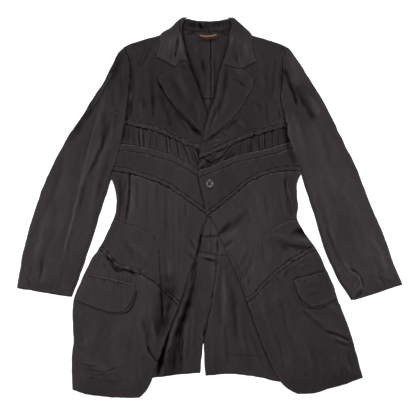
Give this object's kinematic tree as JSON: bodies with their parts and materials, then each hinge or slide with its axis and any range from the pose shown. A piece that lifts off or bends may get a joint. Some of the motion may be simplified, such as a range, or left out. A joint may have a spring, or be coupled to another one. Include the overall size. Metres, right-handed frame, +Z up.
{
  "type": "long jacket",
  "caption": "Long dark jacket laid flat, with notched lapels, gathered front bands, a front button, flap pockets and a cutaway front over a vented back.",
  "frame": {"origin": "centre of the box's bottom face, on the surface that the jacket lies on", "axes": "+X to the right of the front as seen from above, which is the wearer's left; +Y towards the collar; +Z up out of the surface, front side up"},
  "size_m": [0.9056, 0.893, 0.0117],
  "materials": {
    "fabric": "satin",
    "button": "gloss",
    "label": "matte"
  },
  "bodies": {
    "root": {"back_band_tab": "fabric", "collar_stand": "fabric", "front_button": "button", "hanger_loop": "fabric", "left_back_band": "fabric", "left_back_body": "fabric", "left_back_skirt": "fabric", "left_back_yoke": "fabric", "left_band_lower_tape": "fabric", "left_band_upper_tape": "fabric", "left_collar_fall": "fabric", "left_flat_band": "fabric", "left_front_panel": "fabric", "left_front_skirt": "fabric", "left_front_yoke": "fabric", "left_gathered_band": "fabric", "left_hip_panel": "fabric", "left_lapel": "fabric", "left_pocket_flap": "fabric", "left_side_panel": "fabric", "left_skirt_tape": "fabric", "left_sleeve_top": "fabric", "left_sleeve_under": "fabric", "left_yoke_tape": "fabric", "neck_label": "label", "right_back_band": "fabric", "right_back_body": "fabric", "right_back_skirt": "fabric", "right_back_yoke": "fabric", "right_band_lower_tape": "fabric", "right_band_upper_tape": "fabric", "right_collar_fall": "fabric", "right_flat_band": "fabric", "right_front_facing": "fabric", "right_front_panel": "fabric", "right_front_skirt": "fabric", "right_front_yoke": "fabric", "right_gathered_band": "fabric", "right_hip_panel": "fabric", "right_lapel": "fabric", "right_pocket_flap": "fabric", "right_side_panel": "fabric", "right_skirt_tape": "fabric", "right_sleeve_top": "fabric", "right_sleeve_under": "fabric", "right_yoke_tape": "fabric"}
  },
  "joints": []
}
